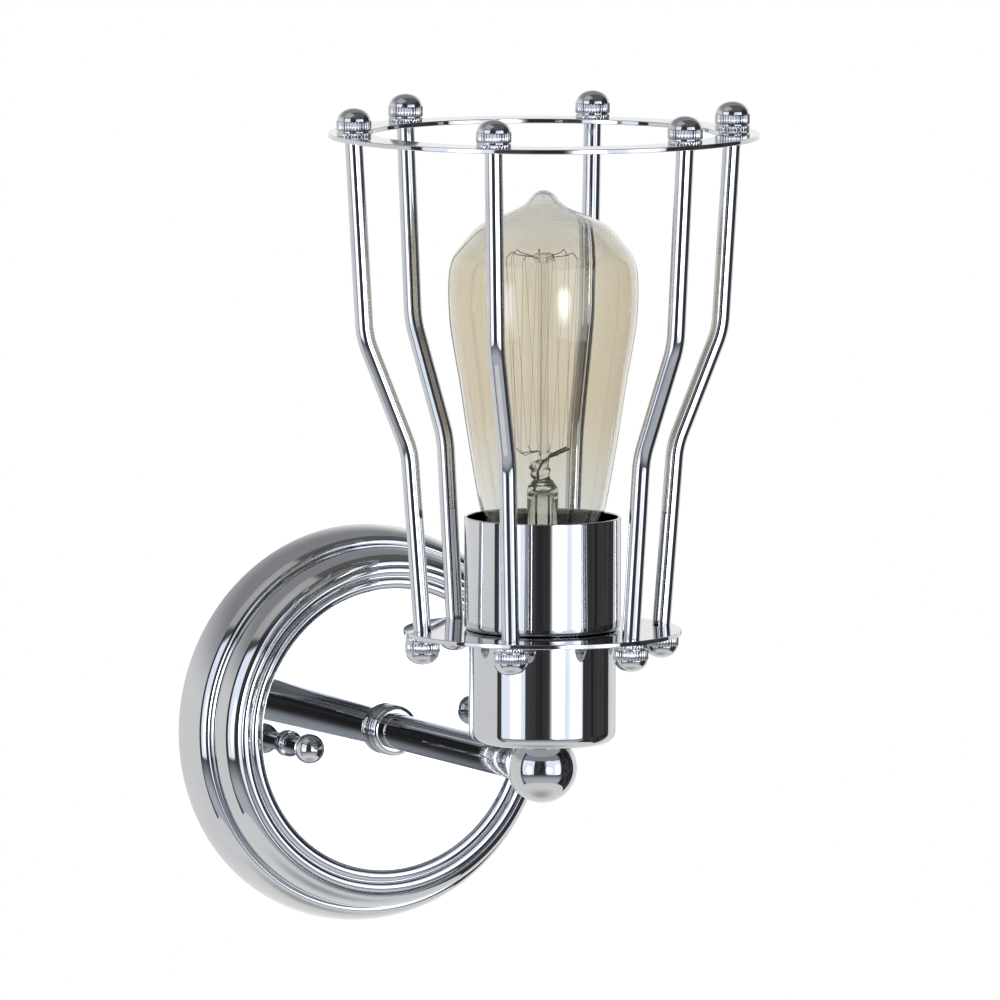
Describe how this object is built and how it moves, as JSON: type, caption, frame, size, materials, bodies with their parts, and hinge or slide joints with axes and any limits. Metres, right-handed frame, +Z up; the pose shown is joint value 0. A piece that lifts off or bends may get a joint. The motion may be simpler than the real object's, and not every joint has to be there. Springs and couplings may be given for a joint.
{
  "type": "wall light",
  "caption": "Chrome wall light: a stepped round canopy and straight arm hold a socket cup and a flared cage of bent rods round a clear amber filament bulb.",
  "frame": {"origin": "centre of the round backplate on the wall plane, midway between the box-screw slots", "axes": "+Y into the wall, the light stands out towards -Y, +Z up along the cage's axis, +X to the right for someone who looks at the wall"},
  "size_m": [0.1302, 0.1905, 0.2635],
  "materials": {
    "polished_chrome": "mirror-polished chrome plating",
    "zinc_steel": "bright zinc plating, satin",
    "green_steel": "green dyed steel, satin",
    "yellow_zinc": "satin",
    "porcelain": "glazed",
    "phenolic": "smooth",
    "shell_brass": "rolled, bright",
    "contact_brass": "satin",
    "black_insulation": "satin wire insulation",
    "white_insulation": "satin wire insulation",
    "amber_glass": "clear, faintly amber",
    "clear_glass": "clear",
    "support_wire": "drawn wire",
    "filament_wire": "drawn wire",
    "nickel_wire": "drawn wire, dull",
    "cap_brass": "rolled, bright",
    "black_glass": "opaque black glass",
    "solder": "dull solder"
  },
  "bodies": {
    "fixture": {"backplate": "polished_chrome", "arm_collar": "polished_chrome", "arm_tube": "polished_chrome", "arm_end_ball": "polished_chrome", "socket_cup": "polished_chrome", "cage_lower_disc": "polished_chrome", "bulb_sleeve": "polished_chrome", "cage_top_ring": "polished_chrome", "cage_rod_1": "polished_chrome", "cage_rod_2": "polished_chrome", "cage_rod_3": "polished_chrome", "cage_rod_4": "polished_chrome", "cage_rod_5": "polished_chrome", "cage_rod_6": "polished_chrome", "cage_top_nuts": "polished_chrome", "cage_bottom_nuts": "polished_chrome", "mounting_strap": "zinc_steel", "mounting_studs": "zinc_steel", "stud_nuts": "zinc_steel", "arm_washer": "zinc_steel", "socket_bracket": "zinc_steel", "bracket_screws": "zinc_steel", "ground_screw": "green_steel", "arm_locknut": "yellow_zinc", "cup_nipple": "yellow_zinc", "cup_locknut": "yellow_zinc", "socket_body": "porcelain", "socket_ring": "phenolic", "socket_screw_shell": "shell_brass", "socket_contact": "contact_brass", "terminal_screws": "contact_brass", "lead_wire_black": "black_insulation", "lead_wire_white": "white_insulation"},
    "bulb": {"bulb_glass": "amber_glass", "bulb_stem": "clear_glass", "filament_supports": "support_wire", "bulb_filament": "filament_wire", "lead_in_wires": "nickel_wire", "bulb_cap": "cap_brass", "cap_insulator": "black_glass", "cap_contact": "solder"},
    "canopy_nut_left": {"canopy_nut_left": "polished_chrome"},
    "canopy_nut_right": {"canopy_nut_right": "polished_chrome"}
  },
  "joints": [
    {"name": "bulb_unscrew", "type": "slide", "parent": "fixture", "child": "bulb", "axis": [0, 0, 1], "range_m": [0, 0.027]},
    {"name": "canopy_nut_left_turn", "type": "hinge", "parent": "fixture", "child": "canopy_nut_left", "pos_m": [-0.03484, -0.03, -0.00244], "axis": [0, -1, 0], "continuous": true},
    {"name": "canopy_nut_right_turn", "type": "hinge", "parent": "fixture", "child": "canopy_nut_right", "pos_m": [0.03484, -0.03, 0.00244], "axis": [0, -1, 0], "continuous": true}
  ]
}
